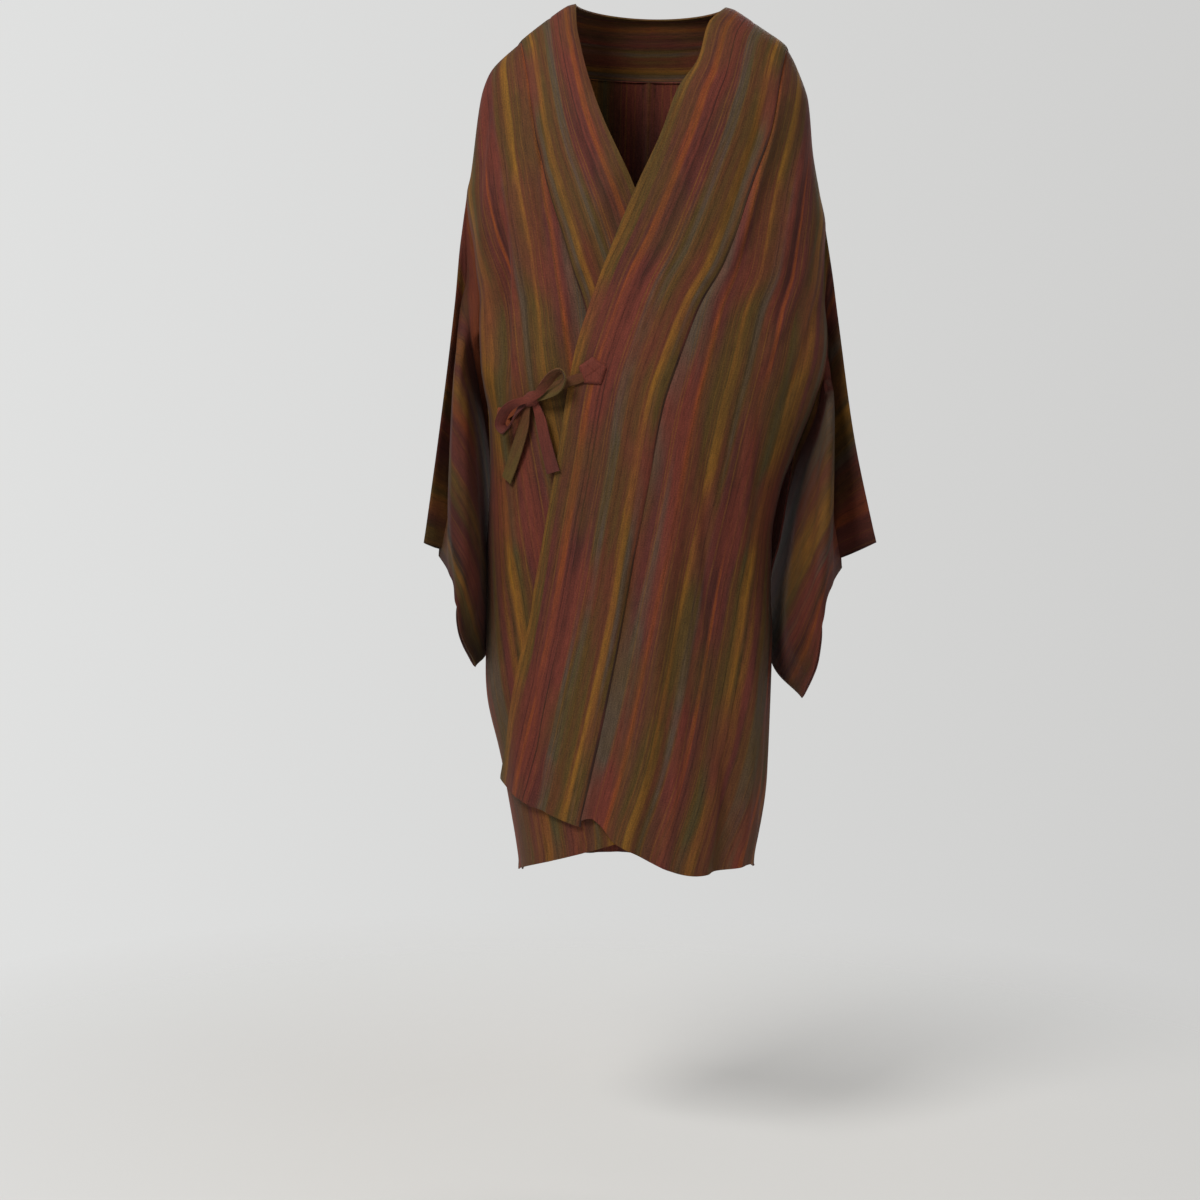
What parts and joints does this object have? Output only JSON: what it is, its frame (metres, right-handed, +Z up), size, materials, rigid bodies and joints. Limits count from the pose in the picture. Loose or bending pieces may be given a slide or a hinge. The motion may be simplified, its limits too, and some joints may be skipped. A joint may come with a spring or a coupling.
{
  "type": "kimono coat",
  "caption": "Knee-length wrap coat of striped silk, worn left front over right, with a wide collar band, hanging sleeves and a bow of narrow ties.",
  "frame": {"origin": "middle of the neck opening, 3 mm above where the collar seams cross the shoulders, where the worn coat rests on the wearer's neck and shoulders", "axes": "+X to the wearer's left, -Y out of the front, +Z up out of the neck"},
  "size_m": [0.5225, 0.2785, 1.0028],
  "materials": {
    "silk_body": "woven striped silk, soft low sheen",
    "silk_collar": "woven striped silk, soft low sheen",
    "silk_sleeve": "woven striped silk, soft low sheen",
    "silk_tie": "sewn silk strip, matt",
    "silk_tie_olive": "sewn silk strip, matt"
  },
  "bodies": {
    "root": {"body_left": "silk_body", "body_right": "silk_body", "collar_left": "silk_collar", "collar_right": "silk_collar", "sleeve_left": "silk_sleeve", "sleeve_right": "silk_sleeve", "tie_pentagon_left": "silk_tie", "tie_pentagon_right": "silk_tie", "tie_strap_left": "silk_tie", "tie_strap_right": "silk_tie", "tie_knot": "silk_tie", "tie_loop_upper": "silk_tie", "tie_loop_lower": "silk_tie", "tie_tail_right": "silk_tie", "tie_tail_left": "silk_tie_olive"}
  },
  "joints": []
}
